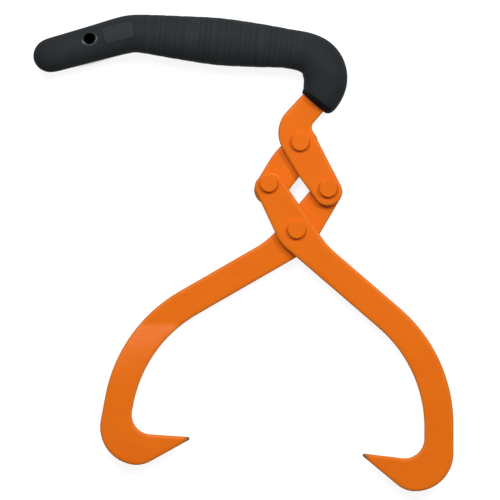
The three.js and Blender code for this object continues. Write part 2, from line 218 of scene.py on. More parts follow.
def power(name, description, default):
    return bpy.props.FloatProperty(
        name=name, description=description, default=default, min=0, unit="POWER"
    )


class GripSizes(bpy.types.PropertyGroup):
    """Sizes of the moulded grip."""

    offset_x: length("Offset X", "From the upper rivet to the middle of the mouth, along X", 0.0102)
    offset_y: length("Offset Y", "From the upper rivet to the middle of the mouth, along Y", 0.0262)
    reach: length("Reach", "From the tail to the middle of the mouth, along X", 0.197)
    rise: length("Rise", "From the middle of the mouth to the highest bend, along Y", 0.05)
    width: length("Width", "Full width at the thickest part of the palm", 0.0332)
    depth: length("Depth", "Full depth at the thickest part of the palm", 0.0297)
    tail_round: length("Tail round", "Depth over which the tail closes", 0.0126)
    lip_round: length("Lip round", "Roll of the mouth's lip on the heel's side", 0.004)
    lip_thin_round: length("Thin lip round", "Roll of the lip on the inner side", 0.0006)
    lip_roll: length("Lip roll", "Roll of the lip on the front and the back", 0.0062)
    ring_start: length("First ring", "From the tail to the first ring's groove", 0.084)
    ring_end: length("Last ring", "From the tail to where the rings end", 0.188)
    ring_pitch: length("Ring pitch", "Between two grooves", 0.0106)
    ring_width: length("Ring groove width", "Width of a ring's groove", 0.002)
    ring_depth: length("Ring groove depth", "Depth of a ring's groove", 0.00016)
    section_step: length("Section step", "Between two sections of the plain parts", 0.004)
    pocket_gap: length("Pocket gap", "Clearance round the handle plate in the grip", 0.0003)
    hole_diameter: length("Hole diameter", "Hanging hole through the tail", 0.0082)
    hole_flare: length("Hole flare", "How far the hole's rim opens at the skin", 0.0009)
    hole_from_tail: length("Hole place", "From the tail to the hanging hole", 0.0418)
    hole_rise: length("Hole rise", "From the centre line out to the hanging hole", 0.0038)
    pad_from_tail: length("Pad place", "From the tail to the bare label pad", 0.0625)
    pad_length: length("Pad length", "Label pad, along the grip", 0.021)
    pad_height: length("Pad height", "Label pad, across the grip", 0.0116)
    pad_rise: length("Pad rise", "From the centre line out to the pad's middle", 0.0024)
    pad_proud: length("Pad proud", "How far the pad stands out of the skin", 0.0004)
    pad_corner: length("Pad corner", "Radius of the pad's corners", 0.0025)


class RivetSizes(bpy.types.PropertyGroup):
    """Sizes of the rivets that their packed nodes don't give."""

    head_height: length("Head height", "From the flat face down to the seat", 0.0028)
    head_round: length("Head round", "Rounding of the head's upper rim", 0.001)
    shank_diameter: length("Shank diameter", "Shank between head and tail", 0.008)
    tail_height: length("Tail height", "Height of the formed tail", 0.0022)
    tail_round: length("Tail round", "Rounding of the formed tail", 0.0009)
    tail_diameter: length("Tail diameter", "Width of the formed tail", 0.0115)


class PlateSizes(bpy.types.PropertyGroup):
    """Sizes of the plates that their packed nodes don't give."""

    step_start: length("Step start", "From the main pivot to the left arm's forward step", 0.0665)
    edge_round: length("Edge round", "How far in from the edges the light sees them rounded", 0.004)
    tip_wear: length("Tip wear", "From a tooth's point to where its paint is whole again", 0.006)


class Finish(bpy.types.PropertyGroup):
    """Colours and gloss."""

    paint: colour("Paint", "Powder coat on plates and rivets", (0.8, 0.16, 0.003))
    paint_deep: colour("Deep paint", "Where the powder coat lies thicker", (0.77, 0.145, 0.0015))
    # Lighter paint on the rounded edges: partly wear, partly a painted highlight
    paint_worn_and_highlit: colour(
        "Rubbed paint", "Rounded edges that wear has left lighter", (0.86, 0.27, 0.03)
    )
    paint_roughness: share("Paint roughness", "Roughness of the powder coat", 0.34)
    steel: colour("Bare steel", "Steel where the points have lost their paint", (0.11, 0.09, 0.08))
    grip: colour("Grip", "Moulded grip", (0.0212, 0.0249, 0.027))
    # Also the colour of the painted highlight round the label pad
    grip_worn_and_highlit: colour(
        "Rubbed grip", "Moulding that hands have rubbed lighter", (0.031, 0.0365, 0.0405)
    )
    grip_roughness: share("Grip roughness", "Roughness of the moulding", 0.6)


class Studio(bpy.types.PropertyGroup):
    """Camera, lamps and floor."""

    picture_x: coordinate("Picture X", "Middle of the picture, along X", -0.0327)
    picture_y: coordinate("Picture Y", "Middle of the picture, along Y", -0.0143)
    picture_width: length("Picture width", "Width of what the picture shows", 0.35)
    camera_height: length("Camera height", "Above the rivet heads", 4.0)
    sky_strength: strength("Sky", "Strength of the soft light from overhead", 0.33)
    key_power: power("Key lamp", "Power of the main lamp", 11.2)
    edge_power: power("Edge lamp", "Power of the lamp that shows up edges", 7)
    floor: colour("Floor", "Floor under the tongs", (0.3, 0.3, 0.3))
    floor_glow: share("Floor glow", "White added to the floor where the camera sees it", 0.88)


SETTINGS = {
    "tongs_grip": GripSizes,
    "tongs_rivets": RivetSizes,
    "tongs_plates": PlateSizes,
    "tongs_finish": Finish,
    "tongs_studio": Studio,
}


def pick(piece):
    """Makes one object the only selected one, and the active one."""
    bpy.ops.object.select_all(action="DESELECT")
    piece.select_set(True)
    bpy.context.view_layer.objects.active = piece


def edit(piece):
    pick(piece)
    bpy.ops.object.mode_set(mode="EDIT")


def done_editing():
    bpy.ops.object.mode_set(mode="OBJECT")


def select(kind, test):
    """Selects only the edges or faces of the mesh in edit mode that pass a test."""
    mesh = bmesh.from_edit_mesh(bpy.context.object.data)
    bpy.ops.mesh.select_mode(type=kind)
    bpy.ops.mesh.select_all(action="DESELECT")
    for element in {"EDGE": mesh.edges, "FACE": mesh.faces}[kind]:
        if test(element):
            element.select_set(True)
    bmesh.update_edit_mesh(bpy.context.object.data)


def apply_modifier(piece, kind, **settings):
    modifier = piece.modifiers.new(kind.title(), kind)
    for name, value in settings.items():
        setattr(modifier, name, value)
    pick(piece)
    bpy.ops.object.modifier_apply(modifier=modifier.name)


def place_in_mesh(piece):
    pick(piece)
    bpy.ops.object.transform_apply(location=True, rotation=True, scale=True)


def delete(piece):
    pick(piece)
    bpy.ops.object.delete()


def smooth(piece, angle):
    """Smooth shading, with edges sharper than the angle left sharp and flat faces kept flat."""
    pick(piece)
    bpy.ops.object.shade_smooth_by_angle(angle=math.radians(angle))


def merged_copy(node, name):
    """A copy of a packed node whose loose triangles are joined into one skin of clean faces."""
    piece = bpy.data.objects.new(name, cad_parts[node].data.copy())
    bpy.context.collection.objects.link(piece)
    edit(piece)
    bpy.ops.mesh.customdata_custom_splitnormals_clear()
    bpy.ops.mesh.select_all(action="SELECT")
    bpy.ops.mesh.remove_doubles(threshold=DOUBLE)
    bpy.ops.mesh.dissolve_limited(angle_limit=math.radians(FLAT_DEGREES))
    done_editing()
    return piece


def lies_at(edge, axis, level):
    """Whether an edge lies at one level along an axis."""
    return all(abs(end.co[axis] - level) < NEAR for end in edge.verts)


def dress(piece, body, slot, material, *nodes):
    """Gives a finished piece its material, hides its packed nodes and ties it to its body; the slot
    is not used.
    """
    piece.data.materials.clear()
    piece.data.materials.append(material)
    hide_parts(*nodes)
    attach(piece, body)


class Value:
    """A socket in Python sums: each operator adds a Math node."""

    def __init__(self, nodes, socket):
        self.nodes = nodes
        self.socket = socket

    def maths(self, operation, *values):
        return self.nodes.add("ShaderNodeMath", {"operation": operation}, dict(enumerate(values)))

    def __add__(self, other):
        return self.maths("ADD", self, other)

    def __sub__(self, other):
        return self.maths("SUBTRACT", self, other)

    def __rsub__(self, other):
        return self.maths("SUBTRACT", other, self)

    def __mul__(self, other):
        return self.maths("MULTIPLY", self, other)

    __radd__ = __add__
    __rmul__ = __mul__


class Nodes:
    """The node tree of a material or of the world."""

    def __init__(self, owner):
        owner.use_nodes = True
        self.tree = owner.node_tree
        self.tree.nodes.clear()

    def add(self, kind, settings=None, sockets=None, output=0):
        """Adds a node, sets it up, fills or links its sockets, and returns one of its outputs."""
        node = self.tree.nodes.new(kind)
        for name, value in (settings or {}).items():
            setattr(node, name, value)
        for name, value in (sockets or {}).items():
            if isinstance(value, Value):
                self.tree.links.new(value.socket, node.inputs[name])
            else:
                node.inputs[name].default_value = value
        return Value(self, node.outputs[output] if len(node.outputs) else None)

    def object_place(self):
        return self.add("ShaderNodeTexCoord", output=3)

    def noise(self, place, scale, detail, roughness=0.5):
        sockets = {"Vector": place, "Scale": scale, "Detail": detail, "Roughness": roughness}
        return self.add("ShaderNodeTexNoise", {}, sockets)

    def noise_along(self, distance, scale, detail):
        """Noise that changes with one distance alone."""
        sockets = {"W": distance, "Scale": scale, "Detail": detail}
        return self.add("ShaderNodeTexNoise", {"noise_dimensions": "1D"}, sockets)

    def spread(self, value, low, high, out_low=0.0, out_high=1.0):
        """A value moved smoothly from one range to another, and held at its ends."""
        sockets = {
            "Value": value,
            "From Min": low,
            "From Max": high,
            "To Min": out_low,
            "To Max": out_high,
        }
        return self.add("ShaderNodeMapRange", {"interpolation_type": "SMOOTHSTEP"}, sockets)

    def fade(self, value, low, high):
        """1 below a range, 0 above it, and smooth between."""
        return self.spread(value, low, high, 1.0, 0.0)

    def number_of(self, operation, first, second):
        """The number that two vectors give, such as their distance."""
        sockets = {0: first, 1: second}
        return self.add("ShaderNodeVectorMath", {"operation": operation}, sockets, output=1)

    def blend(self, factor, first, second):
        """One colour turning into another."""
        sockets = {"Factor": factor, 6: first, 7: second}
        return self.add("ShaderNodeMix", {"data_type": "RGBA"}, sockets, output=2)

    def relief(self, height, **more):
        """A bumped normal, from a height in shares of the relief's depth."""
        sockets = {"Strength": RELIEF_STRENGTH, "Distance": RELIEF_DEPTH, "Height": height}
        return self.add("ShaderNodeBump", {}, {**sockets, **more})

    def surface(self, shader):
        self.add("ShaderNodeOutputMaterial", {}, {"Surface": shader})


def opaque(rgb):
    return (*rgb, 1.0)


def powder_coat(name, edge_round):
    """Orange powder coat: orange peel, uneven thickness and gloss, edges lighter from wear and a
    painted highlight, worn points.
    """
    finish = bpy.context.scene.tongs_finish
    wear = bpy.context.scene.tongs_plates.tip_wear
    material = bpy.data.materials.new(name)
    nodes = Nodes(material)
    place = nodes.object_place()
    peel = nodes.noise(place, PEEL_SCALE, 1.0)
    fine = nodes.noise(place, FINE_PEEL_SCALE, 2.0)
    cloud = nodes.noise(place, COAT_CLOUD_SCALE, 3.0, 0.55)
    thin = nodes.spread(cloud, 0.3, 0.7)
    coat = nodes.blend(thin, opaque(finish.paint_deep), opaque(finish.paint))
    worn = 0.0
    for arm in ("left_hook_arm", "right_hook_arm"):
        away = nodes.number_of("DISTANCE", place, tooth_point(arm)) + fine * wear
        worn = nodes.fade(away, wear, 1.6 * wear) + worn
    edge = nodes.add("ShaderNodeBevel", {"samples": EDGE_SAMPLES}, {"Radius": edge_round})
    face = nodes.add("ShaderNodeNewGeometry", output=1)
    turned = nodes.fade(nodes.number_of("DOT_PRODUCT", edge, face), EDGE_TURNED, EDGE_START)
    # Rounded edges made lighter: partly edge wear, partly a painted highlight for the light the
    # edges catch
    lighter_and_painted_highlight = turned * nodes.spread(cloud, 0.25, 0.5, 0.4, 0.9)
    coat = nodes.blend(lighter_and_painted_highlight, coat, opaque(finish.paint_worn_and_highlit))
    rough = finish.paint_roughness
    sockets = {
        "Base Color": nodes.blend(worn, coat, opaque(finish.steel)),
        "Roughness": nodes.spread(cloud, 0.25, 0.75, rough + 0.05, rough - 0.05),
        "Specular IOR Level": PAINT_SPECULAR,
        "Normal": nodes.relief(peel * 0.7 + fine * 0.3, Normal=edge),
    }
    nodes.surface(nodes.add("ShaderNodeBsdfPrincipled", {}, sockets))
    return material


def tooth_point(node):
    """The point of a hook arm's tooth: the end below the knee that reaches furthest inwards."""
    low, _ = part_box(node)
    corners = [vertex.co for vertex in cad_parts[node].data.vertices]
    below = [co for co in corners if co.y < low.y / 2]
    return min(below, key=lambda co: abs(co.x)).copy()


def moulding():
    """Black grip moulding: grain, places worn lighter, fine rings on the palm part and the mouth's
    face darkened as painted shade, a smoother pad with a painted highlight round it.
    """
    finish = bpy.context.scene.tongs_finish
    sizes = bpy.context.scene.tongs_grip
    line = GripLine(sizes)
    material = bpy.data.materials.new("black_moulding")
    nodes = Nodes(material)
    place = nodes.object_place()
    grain = nodes.noise(place, GRAIN_SCALE, 3.0, 0.6)
    cloud = nodes.noise(place, GRIP_CLOUD_SCALE, 3.0, 0.6)
    from_tail = nodes.add("ShaderNodeAttribute", {"attribute_name": "from_tail"}, output=2)
    turns = (from_tail - sizes.ring_start) * (RINGS_A_GROOVE / sizes.ring_pitch)
    groove = nodes.fade(turns.maths("PINGPONG", turns, 0.5), 0.0, 0.2)
    palm = nodes.spread(from_tail, sizes.ring_start - RING_FADE_IN, sizes.ring_start)
    palm = palm * nodes.fade(from_tail, sizes.ring_end, sizes.ring_end + RING_FADE_OUT)
    uneven = nodes.noise_along(from_tail, RING_UNEVEN_SCALE, 1.0)
    ring = groove * palm * nodes.spread(uneven, 0.35, 0.65, 0.15, 1.0)
    bands = nodes.noise_along(from_tail, RING_BAND_SCALE, 2.0)
    bands = palm * nodes.spread(bands, 0.35, 0.65, 0.0, 0.4)
    pad, highlit_pad_edge = pad_mask(nodes, place, line, sizes)
    hole, _, width = beside_line(line, sizes.hole_from_tail, sizes.hole_rise)
    from_hole = nodes.number_of("DISTANCE", place, hole + Vector((0, 0, width / 2)))
    rim = nodes.fade(from_hole, 0.6 * sizes.hole_diameter, 0.75 * sizes.hole_diameter)
    lighter_and_painted_highlight = nodes.spread(cloud, 0.4, 0.75, 0.0, 0.35) + bands
    # The pad is its own lighter tone; its edge gets a painted highlight
    lighter_and_painted_highlight = lighter_and_painted_highlight.maths("MAXIMUM", lighter_and_painted_highlight, pad * 0.85 + highlit_pad_edge * 0.4)
    skin = nodes.blend(lighter_and_painted_highlight, opaque(finish.grip), opaque(finish.grip_worn_and_highlit))
    lip_start = line.length - LIP_SHADE_WIDTH
    lip = nodes.spread(from_tail, lip_start - LIP_SHADE_BLUR, lip_start + LIP_SHADE_BLUR)
    # Painted shade: darker in the ring grooves and on the face of the mouth
    painted_shade = ring.maths("MAXIMUM", ring * 0.2, lip * 0.7)
    rough = finish.grip_roughness
    sockets = {
        "Base Color": nodes.blend(painted_shade, skin, (0, 0, 0, 1)),
        "Roughness": nodes.spread(cloud, 0.25, 0.75, rough + 0.06, rough - 0.06) - pad * 0.1,
        "Specular IOR Level": GRIP_SPECULAR,
        "Coat Weight": rim * 0.6,
        "Coat Roughness": 0.25,
        "Normal": nodes.relief(grain * (1 - pad * 0.8) * 0.4 - ring * 0.4 - lip),
    }
    nodes.surface(nodes.add("ShaderNodeBsdfPrincipled", {}, sockets))
    return material


def oblong(nodes, place, centre, heading, half, squareness):
    """How far out a place is, 1 on a rounded oblong's outline, and how far above its plane."""
    sockets = {
        "Vector": place,
        "Location": centre,
        "Rotation": (0, 0, heading),
        "Scale": (*half, 1),
    }
    turned = nodes.add("ShaderNodeMapping", {"vector_type": "TEXTURE"}, sockets)
    x, y, above = (
        nodes.add("ShaderNodeSeparateXYZ", {}, {"Vector": turned}, output=axis)
        for axis in range(3)
    )
    along, over = (
        side.maths("POWER", side.maths("ABSOLUTE", side), squareness) for side in (x, y)
    )
    return along + over, above


def pad_mask(nodes, place, line, sizes):
    """1 on the bare label pad and 0 beside it, and the same for the pad's edge alone, which the
    moulding lightens as a painted highlight.
    """
    centre, heading, _ = beside_line(line, sizes.pad_from_tail, sizes.pad_rise)
    half = Vector((sizes.pad_length / 2, sizes.pad_height / 2))
    out, above = oblong(nodes, place, centre, heading, half, PAD_SQUARENESS)
    front = nodes.spread(above, 0.0, 0.002)
    inside = nodes.fade(out, 0.8, 1.1)
    return inside * front, (inside - nodes.fade(out, 0.1, 0.4)) * front


class TONGS_OT_plates(bpy.types.Operator):
    """Cleans the four steel plates and paints them"""

    bl_idname = "tongs.plates"
    bl_label = "Plates"

    def execute(self, context):
        sizes = context.scene.tongs_plates
        paint = powder_coat("orange_plates", sizes.edge_round)
        for node, body in PLATES.items():
            piece = merged_copy(node, node + "_painted")
            smooth(piece, PLATE_SHARP)
            if node == "left_hook_arm":
                edit(piece)
                select("EDGE", lambda edge: lies_at(edge, 1, -sizes.step_start))
                bpy.ops.mesh.mark_sharp()
                done_editing()
            apply_modifier(piece, "WEIGHTED_NORMAL", keep_sharp=True, weight=100)
            dress(piece, body, "orange_paint", paint, node)
        return {"FINISHED"}


class TONGS_OT_rivets(bpy.types.Operator):
    """Turns the four rivets, each with a flat head, a shank and a formed tail"""

    bl_idname = "tongs.rivets"
    bl_label = "Rivets"

    def execute(self, context):
        sizes = context.scene.tongs_rivets
        low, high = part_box("main_rivet")
        head_radius = (high.x - low.x) / 2
        pattern = turned_rivet(low, high, head_radius, sizes)
        paint = powder_coat("orange_rivets", sizes.head_round)
        for node, body in RIVETS.items():
            piece = bpy.data.objects.new(node + "_painted", pattern.data.copy())
            context.collection.objects.link(piece)
            node_low, node_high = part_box(node)
            piece.data.transform(Matrix.Translation((node_low + node_high) / 2 - (low + high) / 2))
            dress(piece, body, "orange_paint", paint, node)
        delete(pattern)
        return {"FINISHED"}


def turned_rivet(low, high, head_radius, sizes):
    """One rivet between the heights of its packed node, about its axis."""
    middle = (low + high) / 2
    seat = high.z - sizes.head_height
    tail_top = low.z + sizes.tail_height
    shank_radius = sizes.shank_diameter / 2
    tail_radius = sizes.tail_diameter / 2
    bpy.ops.object.select_all(action="DESELECT")
    bpy.ops.mesh.primitive_cylinder_add(
        vertices=RIVET_SIDES,
        radius=head_radius,
        depth=sizes.head_height,
        location=(middle.x, middle.y, (high.z + seat) / 2),
        end_fill_type="NGON",
    )
    piece = bpy.context.object
    place_in_mesh(piece)
    edit(piece)
    select("FACE", lambda face: face.normal.z < -0.5)
    bpy.ops.mesh.inset(thickness=head_radius - shank_radius)
    bpy.ops.mesh.extrude_region_move(TRANSFORM_OT_translate={"value": (0, 0, tail_top - seat)})
    bpy.ops.mesh.extrude_region_move()
    grow = tail_radius / shank_radius
    bpy.ops.transform.resize(value=(grow, grow, 1), center_override=(middle.x, middle.y, tail_top))
    bpy.ops.mesh.extrude_region_move(TRANSFORM_OT_translate={"value": (0, 0, low.z - tail_top)})
    select("EDGE", lambda edge: lies_at(edge, 2, high.z))
    bpy.ops.mesh.bevel(
        offset=sizes.head_round, segments=HEAD_ROUND_STEPS, profile=0.5, affect="EDGES"
    )
    select("EDGE", lambda edge: lies_at(edge, 2, low.z))
    bpy.ops.mesh.bevel(
        offset=sizes.tail_round, segments=TAIL_ROUND_STEPS, profile=0.5, affect="EDGES"
    )
    done_editing()
    smooth(piece, RIVET_SHARP)
    apply_modifier(piece, "WEIGHTED_NORMAL", keep_sharp=True, weight=100)
    return piece


def spline(points, before, after, pace, place):
    """A smooth curve through points, at a place counted in points.

    It leans on one point more at each end. Pace gives how long the curve takes between two points.
    """
    leaned = [before, *points, after]
    first = min(int(place), len(points) - 2)
    part = place - first
    p0, p1, p2, p3 = leaned[first : first + 4]
    d0, d1, d2 = pace(p0, p1), pace(p1, p2), pace(p2, p3)
    leave = ((p1 - p0) / d0 - (p2 - p0) / (d0 + d1) + (p2 - p1) / d1) * d1
    arrive = ((p2 - p1) / d1 - (p3 - p1) / (d1 + d2) + (p3 - p2) / d2) * d1
    bend = 3 * (p2 - p1) - 2 * leave - arrive
    return p1 + leave * part + bend * part**2 + (leave + arrive - 2 * (p2 - p1)) * part**3


def centripetal(start, end):
    return math.sqrt((end - start).length)


def even(start, end):
    return 1.0


class GripLine:
    """The grip's centre line: place, heading and width at any distance from the tail."""

    def __init__(self, sizes):
        low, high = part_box("upper_rivet")
        plate_low, plate_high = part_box("handle_plate")
        mouth = Vector(
            (
                (low.x + high.x) / 2 + sizes.offset_x,
                (low.y + high.y) / 2 + sizes.offset_y,
                (plate_low.z + plate_high.z) / 2,
            )
        )
        stations = [
            mouth + Vector((x * sizes.reach, y * sizes.rise, 0)) for x, y, _ in GRIP_STATION_SHARES
        ]
        widths = [width * sizes.width for _, _, width in GRIP_STATION_SHARES]
        before = 2 * stations[0] - stations[1]
        after = 2 * stations[-1] - stations[-2]
        last = len(stations) - 1
        self.fine = np.linspace(0, last, LINE_STEPS * last + 1)
        self.places = np.array(
            [spline(stations, before, after, centripetal, float(t)) for t in self.fine]
        )
        self.widths = np.array(
            [spline(widths, widths[0], widths[-1], even, float(t)) for t in self.fine]
        )
        steps = np.diff(self.places, axis=0)
        self.distances = np.concatenate([[0], np.cumsum(np.linalg.norm(steps, axis=1))])
        slopes = np.gradient(self.places, axis=0)
        self.headings = np.unwrap(np.arctan2(slopes[:, 1], slopes[:, 0]))
        self.length = float(np.interp(MOUTH_STATION, self.fine, self.distances))

    def at(self, distance):
        """Place, heading and width at a distance from the tail."""
        place = Vector(
            [np.interp(distance, self.distances, self.places[:, axis]) for axis in range(3)]
        )
        heading = float(np.interp(distance, self.distances, self.headings))
        return place, heading, float(np.interp(distance, self.distances, self.widths))


def across(heading):
    return Vector((-math.sin(heading), math.cos(heading), 0))


def beside_line(line, distance, rise):
    """Place beside the grip's centre line, heading and width, at a distance from the tail."""
    place, heading, width = line.at(distance)
    return place + across(heading) * rise, heading, width


def quarter_round(radius, depth):
    """How far a quarter round has drawn in at a depth below its end, as a share of its radius."""
    return 0.0 if depth >= radius else 1 - math.sqrt(1 - (1 - depth / radius) ** 2)


def ring_places(sizes):
    count = int((sizes.ring_end - sizes.ring_start) / sizes.ring_pitch) + 1
    return [sizes.ring_start + index * sizes.ring_pitch for index in range(count)]


def grip_section(line, sizes, distance, groove_depth):
    """Centre, heading, radius and flatness of the grip's oval at a distance from the tail."""
    place, heading, width = line.at(distance)
    tail = width / 2 * quarter_round(sizes.tail_round, distance)
    left = line.length - distance
    thick_lip = sizes.lip_round * quarter_round(sizes.lip_round, left)
    thin_lip = sizes.lip_thin_round * quarter_round(sizes.lip_thin_round, left)
    nearest = min(abs(distance - ring) for ring in ring_places(sizes))
    groove = groove_depth * max(0.0, 1 - 2 * nearest / sizes.ring_width)
    centre = place - across(heading) * (thick_lip - thin_lip) / 2
    radius = width / 2 - tail - (thick_lip + thin_lip) / 2 - groove
    rolled = sizes.lip_roll * quarter_round(sizes.lip_roll, left) / (width / 2)
    return centre, heading, radius, sizes.depth / sizes.width * (1 - rolled)


def grip_distances(line, sizes):
    """Distances from the tail where the grip has a section, closer at the ends and at each ring."""
    tail = [part * sizes.tail_round for part in END_SECTION_SHARES]
    lip = [line.length - part * sizes.lip_roll for part in END_SECTION_SHARES]
    rings = []
    for ring in ring_places(sizes):
        half = sizes.ring_width / 2
        rings += [ring - half, ring, ring + half, ring + sizes.ring_pitch / 2]
    plain = []
    distance = sizes.tail_round + sizes.section_step
    while distance < line.length - sizes.lip_roll - sizes.section_step / 2:
        if distance < rings[0] - sizes.ring_width or distance > rings[-1] + sizes.ring_width:
            plain.append(distance)
        distance += sizes.section_step
    return sorted(tail + plain + rings + lip)


def drawn_out(name, sections, sides):
    """A closed bar through oval sections, drawn out ring by ring."""
    centre, heading, radius, flatness = sections[0]
    bpy.ops.object.select_all(action="DESELECT")
    bpy.ops.mesh.primitive_circle_add(
        vertices=sides,
        radius=radius,
        fill_type="NGON",
        location=centre,
        rotation=(math.pi / 2, 0, heading + math.pi / 2),
    )
    piece = bpy.context.object
    piece.name = name
    place_in_mesh(piece)
    edit(piece)
    bpy.ops.mesh.select_all(action="SELECT")
    bpy.ops.transform.resize(value=(1, 1, flatness), center_override=centre)
    for here, last in zip(sections[1:], sections):
        bpy.ops.mesh.extrude_region_move(TRANSFORM_OT_translate={"value": here[0] - last[0]})
        bpy.ops.transform.rotate(value=last[1] - here[1], orient_axis="Z", center_override=here[0])
        wide = here[2] / last[2]
        high = wide * here[3] / last[3]
        bpy.ops.transform.resize(value=(wide, wide, high), center_override=here[0])
    bpy.ops.mesh.select_all(action="SELECT")
    bpy.ops.mesh.normals_make_consistent(inside=False)
    done_editing()
    return piece


def flared_hole(line, sizes, flatness):
    """The cutter for the hanging hole, opened out at both ends where it meets the sloping skin."""
    centre, heading, width = beside_line(line, sizes.hole_from_tail, sizes.hole_rise)
    skin = flatness * math.sqrt((width / 2) ** 2 - sizes.hole_rise**2)
    slope = math.atan(flatness**2 * sizes.hole_rise / skin)
    radius = sizes.hole_diameter / 2
    flare = sizes.hole_flare
    bpy.ops.object.select_all(action="DESELECT")
    bpy.ops.mesh.primitive_cylinder_add(
        vertices=HOLE_SIDES,
        radius=radius,
        depth=skin,
        location=centre,
        rotation=(0, 0, heading),
        end_fill_type="NGON",
    )
    cutter = bpy.context.object
    place_in_mesh(cutter)
    edit(cutter)
    along = Matrix.Rotation(heading, 3, "Z")
    for side in (1, -1):
        height = skin / 2
        cap = centre.z + side * height
        select("FACE", lambda face: abs(face.calc_center_median().z - cap) < NEAR)
        grown = radius
        for step in range(1, HOLE_FLARE_STEPS + 1):
            angle = math.pi / 2 * step / HOLE_FLARE_STEPS
            wide = radius + flare * (1 - math.cos(angle))
            high = skin - flare * (1 - math.sin(angle))
            middle = centre + Vector((0, 0, side * high))
            rise = (0, 0, side * (high - height))
            bpy.ops.mesh.extrude_region_move(TRANSFORM_OT_translate={"value": rise})
            if step == 1:
                bpy.ops.transform.rotate(
                    value=side * slope,
                    orient_axis="X",
                    orient_matrix=along,
                    center_override=middle,
                )
            bpy.ops.transform.resize(value=(wide / grown,) * 3, center_override=middle)
            height, grown = high, wide
        rise = (0, 0, side * CUTTER_PAST * flare)
        bpy.ops.mesh.extrude_region_move(TRANSFORM_OT_translate={"value": rise})
    bpy.ops.mesh.select_all(action="SELECT")
    bpy.ops.mesh.normals_make_consistent(inside=False)
    done_editing()
    return cutter


def pocket_cutter(sizes):
    """The handle plate made larger by the pocket's gap."""
    cutter = merged_copy("handle_plate", "pocket_cutter")
    edit(cutter)
    bpy.ops.mesh.select_all(action="SELECT")
    bpy.ops.mesh.normals_make_consistent(inside=False)
    bpy.ops.transform.shrink_fatten(value=sizes.pocket_gap, use_even_offset=True)
    done_editing()
    return cutter


def label_pad(skin, line, sizes):
    """The bare pad: the grip's own skin, raised, within a rounded column."""
    centre, heading, width = beside_line(line, sizes.pad_from_tail, sizes.pad_rise)
    centre.z += width / 2
    pad = bpy.data.objects.new("label_pad", skin.data.copy())
    bpy.context.collection.objects.link(pad)
    edit(pad)
    bpy.ops.mesh.select_all(action="SELECT")
    bpy.ops.transform.shrink_fatten(value=sizes.pad_proud)
    done_editing()
    bpy.ops.object.select_all(action="DESELECT")
    bpy.ops.mesh.primitive_cube_add(size=1, location=centre, rotation=(0, 0, heading))
    column = bpy.context.object
    column.scale = (sizes.pad_length, sizes.pad_height, width)
    place_in_mesh(column)
    edit(column)
    select("EDGE", lambda edge: abs((edge.verts[0].co - edge.verts[1].co).z) > width / 2)
    bpy.ops.mesh.bevel(
        offset=sizes.pad_corner, segments=PAD_CORNER_STEPS, profile=0.5, affect="EDGES"
    )
    done_editing()
    apply_modifier(pad, "BOOLEAN", operation="INTERSECT", object=column, solver="EXACT")
    delete(column)
    return pad


def mark_distances(piece, line):
    """Notes how far from the tail each point of the grip lies, for the rings' pattern."""
    tree = kdtree.KDTree(len(line.places))
    for index, place in enumerate(line.places):
        tree.insert(place, index)
    tree.balance()
    marks = piece.data.attributes.new("from_tail", "FLOAT", "POINT")
    for vertex, mark in zip(piece.data.vertices, marks.data):
        nearest, index, _ = tree.find(vertex.co)
        heading = line.headings[index]
        past = (vertex.co - nearest).dot(Vector((math.cos(heading), math.sin(heading), 0)))
        mark.value = line.distances[index] + past


class TONGS_OT_grip(bpy.types.Operator):
    """Draws out the grip with its rings, rolled lip, bare pad, hanging hole and pocket"""

    bl_idname = "tongs.grip"
    bl_label = "Grip"

    def execute(self, context):
        sizes = context.scene.tongs_grip
        line = GripLine(sizes)
        flatness = sizes.depth / sizes.width
        # A subdivided skin lies a little inside its cage's corners, and partly fills its grooves
        cage = 1 / (1 - (1 - math.cos(2 * math.pi / GRIP_SIDES)) / 3)
        groove_depth = 1.5 * sizes.ring_depth
        sections = []
        for distance in grip_distances(line, sizes):
            centre, heading, radius, flat = grip_section(line, sizes, distance, groove_depth)
            sections.append((centre, heading, radius * cage, flat))
        piece = drawn_out("grip_moulded", sections, GRIP_SIDES)
        apply_modifier(piece, "SUBSURF", levels=GRIP_LEVELS, render_levels=GRIP_LEVELS)
        pad = label_pad(piece, line, sizes)
        cutters = [flared_hole(line, sizes, flatness), pocket_cutter(sizes)]
        apply_modifier(piece, "BOOLEAN", operation="UNION", object=pad, solver="EXACT")
        for cutter in cutters:
            apply_modifier(piece, "BOOLEAN", operation="DIFFERENCE", object=cutter, solver="EXACT")
        for tool in (pad, *cutters):
            delete(tool)
        smooth(piece, GRIP_SHARP)
        mark_distances(piece, line)
        dress(piece, "handle", "grip_black", moulding(), "grip")
        return {"FINISHED"}


def area_lamp(name, place, target, width, power):
    lamp = bpy.data.lights.new(name, "AREA")
    lamp.shape = "DISK"
    lamp.size = width
    lamp.energy = power
    holder = bpy.data.objects.new(name, lamp)
    bpy.context.collection.objects.link(holder)
    holder.location = place
    holder.rotation_euler = (target - place).to_track_quat("-Z", "Y").to_euler()


